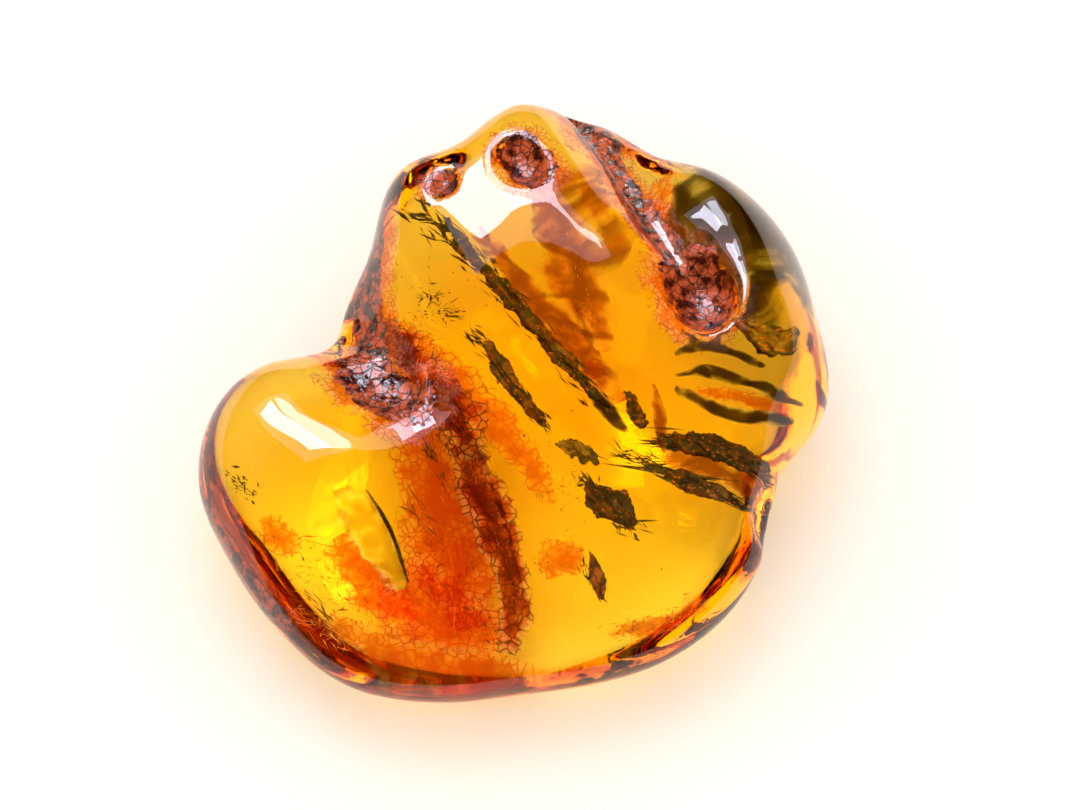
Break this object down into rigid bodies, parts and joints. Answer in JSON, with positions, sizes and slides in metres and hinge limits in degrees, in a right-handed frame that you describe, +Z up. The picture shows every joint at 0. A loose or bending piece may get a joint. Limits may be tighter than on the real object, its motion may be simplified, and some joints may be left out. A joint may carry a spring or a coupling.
{
  "type": "raw amber piece",
  "caption": "Polished free-form piece of clear golden amber with crust pits and scraps of bark, leaf and wood sealed inside.",
  "frame": {"origin": "on the flat that the piece rests on, below its middle", "axes": "+Z up from the rest face, +X to the right and +Y to the back in the picture's view"},
  "size_m": [0.0522, 0.0513, 0.0214],
  "materials": {
    "amber": "polished clear fossil resin",
    "bark": "dark fossil bark",
    "wood": "brown fossil wood",
    "leaf": "olive fossil leaf",
    "crack": "dark red crazed resin"
  },
  "bodies": {
    "root": {"amber_upper": "amber", "amber_lower": "amber", "bark_strip_long": "bark", "bark_strip_middle": "bark", "wood_wedge": "wood", "seed_husk": "bark", "leaf_scrap": "leaf", "bark_chip": "bark", "bark_slab_upper": "bark", "bark_slab_lower": "bark", "wood_splinter": "wood", "leaf_flake": "leaf", "crack_band": "crack", "leaf_sliver": "leaf"}
  },
  "joints": []
}
